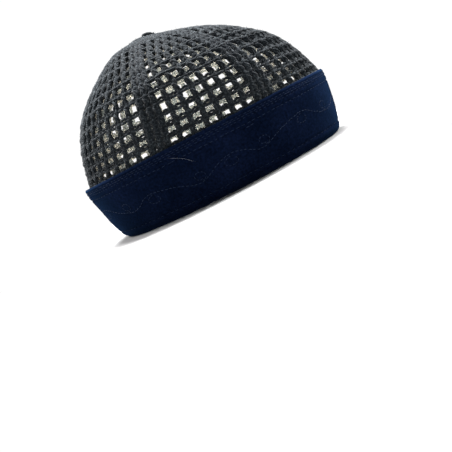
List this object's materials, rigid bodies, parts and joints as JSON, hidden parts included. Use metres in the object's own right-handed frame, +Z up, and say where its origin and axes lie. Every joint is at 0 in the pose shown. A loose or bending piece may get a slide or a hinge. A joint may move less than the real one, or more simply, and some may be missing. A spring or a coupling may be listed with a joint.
{
  "type": "crocheted skullcap (kufi) with a velvet band",
  "caption": "Round brimless skullcap: an open crocheted dome with solid ribs, its edge tucked into a soft dark velvet band with stitched rows and a running vine.",
  "frame": {"origin": "on the ground under the cap, in the middle of its length and width", "axes": "+X towards the front of the cap, +Y towards its left side, +Z up"},
  "size_m": [0.224, 0.18, 0.14],
  "materials": {
    "yarn": "matt heathered charcoal yarn with a soft fuzz",
    "velvet": "very dark navy velvet with a bluer sheen where the pile is seen edge on"
  },
  "bodies": {
    "root": {"crown": "yarn", "band": "velvet"}
  },
  "joints": []
}
